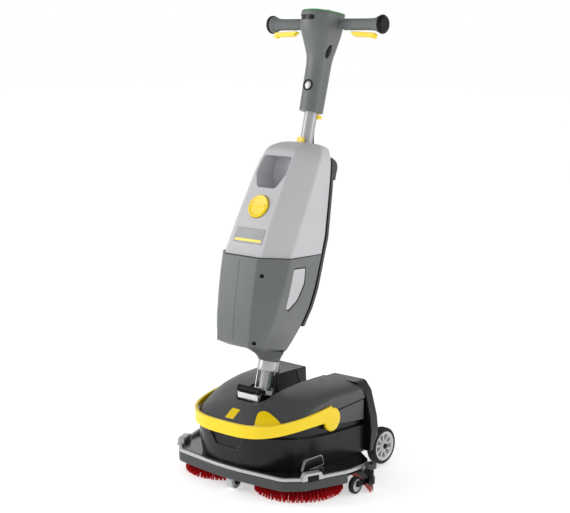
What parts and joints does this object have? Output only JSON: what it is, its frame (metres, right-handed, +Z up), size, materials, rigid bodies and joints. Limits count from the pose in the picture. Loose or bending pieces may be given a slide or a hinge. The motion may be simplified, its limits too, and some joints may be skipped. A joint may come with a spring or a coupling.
{
  "type": "wet/dry floor scrubber",
  "caption": "Walk-behind floor scrubber: twin disc brushes, squeegee, slide-out dirty water tank with bail, leaning column with fresh water tank and a T handle with triggers.",
  "frame": {"origin": "on the floor under the middle of the machine's width and length, at the underside of the brushes", "axes": "+Z up, the front faces -Y, +X is the operator's left"},
  "size_m": [0.573, 0.4653, 1.1683],
  "materials": {
    "black_plastic": "moulded, satin to gloss",
    "anthracite_plastic": "fine moulded texture",
    "dark_grey_plastic": "fine moulded texture",
    "light_grey_plastic": "semi-matt moulded",
    "silver_plastic": "silver painted, satin",
    "yellow_plastic": "moulded, semi-gloss",
    "green_plastic": "moulded, semi-gloss",
    "circuit_board": "solder mask",
    "grey_window": "milky, semi-gloss",
    "red_bristle": "nylon filament",
    "blade_red": "matt",
    "blade_clear": "matt",
    "soft_grip": "fine texture",
    "tyre_rubber": "matt",
    "hose_rubber": "satin",
    "steel": "bright",
    "aluminium_tube": "satin anodised",
    "motor_steel": "satin"
  },
  "bodies": {
    "deck": {"chassis_pan": "black_plastic", "bumper": "anthracite_plastic", "deck_rim": "silver_plastic", "rear_housing": "black_plastic", "suction_turbine": "motor_steel", "water_pump": "dark_grey_plastic", "rear_axle": "steel", "brush_motor_right": "motor_steel", "brush_motor_left": "motor_steel", "nose_fork": "dark_grey_plastic", "pivot_bracket": "steel", "pivot_barrel": "black_plastic", "hose_lower": "hose_rubber"},
    "pivot": {"pivot_cross": "dark_grey_plastic"},
    "column": {"mast": "aluminium_tube", "column_neck": "silver_plastic", "lower_housing": "anthracite_plastic", "level_window": "grey_window", "battery_pack": "black_plastic", "fresh_water_tank": "light_grey_plastic", "back_frame": "dark_grey_plastic", "lead_hook": "dark_grey_plastic", "hose_upper": "hose_rubber"},
    "handle": {"upper_tube": "aluminium_tube", "head_front_shell": "anthracite_plastic", "head_rear_shell": "anthracite_plastic", "control_panel": "green_plastic", "control_board": "circuit_board", "handlebar": "steel", "grip_right": "soft_grip", "grip_left": "soft_grip", "end_cap_right": "black_plastic", "end_cap_left": "black_plastic", "control_cable": "hose_rubber"},
    "power_button": {"power_button": "black_plastic"},
    "mode_button": {"mode_button": "black_plastic"},
    "height_latch": {"height_latch": "yellow_plastic"},
    "tank_catch": {"tank_catch": "yellow_plastic"},
    "filler_cap": {"filler_cap": "yellow_plastic"},
    "dirty_tank": {"dirty_water_tank": "black_plastic", "tank_lid": "dark_grey_plastic"},
    "bail": {"bail_handle": "yellow_plastic"},
    "squeegee": {"squeegee_body": "black_plastic", "squeegee_front_blade": "blade_red", "squeegee_rear_blade": "blade_clear"},
    "nose_wheel": {"nose_wheel": "silver_plastic"},
    "trigger_right": {"trigger_right": "yellow_plastic"},
    "brush_right": {"brush_holder_right": "black_plastic", "brush_bristles_right": "red_bristle"},
    "wheel_right": {"wheel_rim_right": "silver_plastic", "wheel_tyre_right": "tyre_rubber"},
    "support_wheel_right": {"support_wheel_right": "silver_plastic"},
    "guide_roller_right": {"guide_roller_right": "dark_grey_plastic"},
    "trigger_left": {"trigger_left": "yellow_plastic"},
    "brush_left": {"brush_holder_left": "black_plastic", "brush_bristles_left": "red_bristle"},
    "wheel_left": {"wheel_rim_left": "silver_plastic", "wheel_tyre_left": "tyre_rubber"},
    "support_wheel_left": {"support_wheel_left": "silver_plastic"},
    "guide_roller_left": {"guide_roller_left": "dark_grey_plastic"}
  },
  "joints": [
    {"name": "column_pitch", "type": "hinge", "parent": "deck", "child": "pivot", "pos_m": [0, -0.0864, 0.2], "axis": [-1, 0, 0], "range_deg": [-14, 45], "deforming": ["hose_lower"]},
    {"name": "column_roll", "type": "hinge", "parent": "pivot", "child": "column", "pos_m": [0, -0.0864, 0.2], "axis": [0, -0.9666, 0.2563], "range_deg": [-12, 12], "deforming": ["hose_upper"]},
    {"name": "handle_height", "type": "slide", "parent": "column", "child": "handle", "axis": [0, 0.2563, 0.9666], "range_m": [-0.065, 0.08], "deforming": ["control_cable"]},
    {"name": "trigger_right_pull", "type": "hinge", "parent": "handle", "child": "trigger_right", "pos_m": [-0.088, 0.15446, 1.10841], "axis": [0, 0.9666, -0.2563], "range_deg": [0, 3], "stiffness_Nm_per_rad": 1.2, "springref_deg": -0.57},
    {"name": "trigger_left_pull", "type": "hinge", "parent": "handle", "child": "trigger_left", "pos_m": [0.088, 0.15446, 1.10841], "axis": [0, -0.9666, 0.2563], "range_deg": [0, 3], "stiffness_Nm_per_rad": 1.2, "springref_deg": -0.57},
    {"name": "power_button_press", "type": "slide", "parent": "handle", "child": "power_button", "axis": [0, 0.1393, 0.9902], "range_m": [-0.0015, 0], "stiffness_N_per_m": 600, "springref_m": 0.0004},
    {"name": "mode_button_press", "type": "slide", "parent": "handle", "child": "mode_button", "axis": [0, 0.1393, 0.9902], "range_m": [-0.0015, 0], "stiffness_N_per_m": 600, "springref_m": 0.0004},
    {"name": "height_latch_press", "type": "slide", "parent": "handle", "child": "height_latch", "axis": [0, 0.2563, 0.9666], "range_m": [0, 0.003], "stiffness_N_per_m": 500, "springref_m": -0.0008},
    {"name": "tank_catch_press", "type": "slide", "parent": "column", "child": "tank_catch", "axis": [0, 0.9666, -0.2563], "range_m": [-0.003, 0], "stiffness_N_per_m": 500, "springref_m": 0.0008},
    {"name": "filler_cap_turn", "type": "hinge", "parent": "column", "child": "filler_cap", "pos_m": [0, -0.09618, 0.6909], "axis": [0, -0.8679, 0.4967], "range_deg": [0, 90]},
    {"name": "dirty_tank_slide", "type": "slide", "parent": "deck", "child": "dirty_tank", "axis": [0, -0.9669, 0.255], "range_m": [0, 0.13]},
    {"name": "bail_swing", "type": "hinge", "parent": "dirty_tank", "child": "bail", "pos_m": [0, -0.0188, 0.1687], "axis": [-1, 0, 0], "range_deg": [0, 45]},
    {"name": "squeegee_float", "type": "slide", "parent": "deck", "child": "squeegee", "axis": [0, 0, 1], "range_m": [0, 0.007]},
    {"name": "brush_right_spin", "type": "hinge", "parent": "deck", "child": "brush_right", "pos_m": [-0.119, -0.0864, 0], "axis": [0, 0, 1], "continuous": true},
    {"name": "wheel_right_roll", "type": "hinge", "parent": "deck", "child": "wheel_right", "pos_m": [-0.172, 0.1846, 0.0515], "axis": [1, 0, 0], "continuous": true},
    {"name": "support_wheel_right_roll", "type": "hinge", "parent": "squeegee", "child": "support_wheel_right", "pos_m": [-0.251, -0.0284, 0.0215], "axis": [1, 0, 0], "continuous": true},
    {"name": "guide_roller_right_spin", "type": "hinge", "parent": "squeegee", "child": "guide_roller_right", "pos_m": [-0.2725, 0.0056, 0.0668], "axis": [0, 0, 1], "continuous": true},
    {"name": "brush_left_spin", "type": "hinge", "parent": "deck", "child": "brush_left", "pos_m": [0.119, -0.0864, 0], "axis": [0, 0, 1], "continuous": true},
    {"name": "wheel_left_roll", "type": "hinge", "parent": "deck", "child": "wheel_left", "pos_m": [0.172, 0.1846, 0.0515], "axis": [1, 0, 0], "continuous": true},
    {"name": "support_wheel_left_roll", "type": "hinge", "parent": "squeegee", "child": "support_wheel_left", "pos_m": [0.251, -0.0284, 0.0215], "axis": [1, 0, 0], "continuous": true},
    {"name": "guide_roller_left_spin", "type": "hinge", "parent": "squeegee", "child": "guide_roller_left", "pos_m": [0.2725, 0.0056, 0.0668], "axis": [0, 0, 1], "continuous": true},
    {"name": "nose_wheel_roll", "type": "hinge", "parent": "deck", "child": "nose_wheel", "pos_m": [0, -0.1944, 0.0182], "axis": [1, 0, 0], "continuous": true}
  ]
}
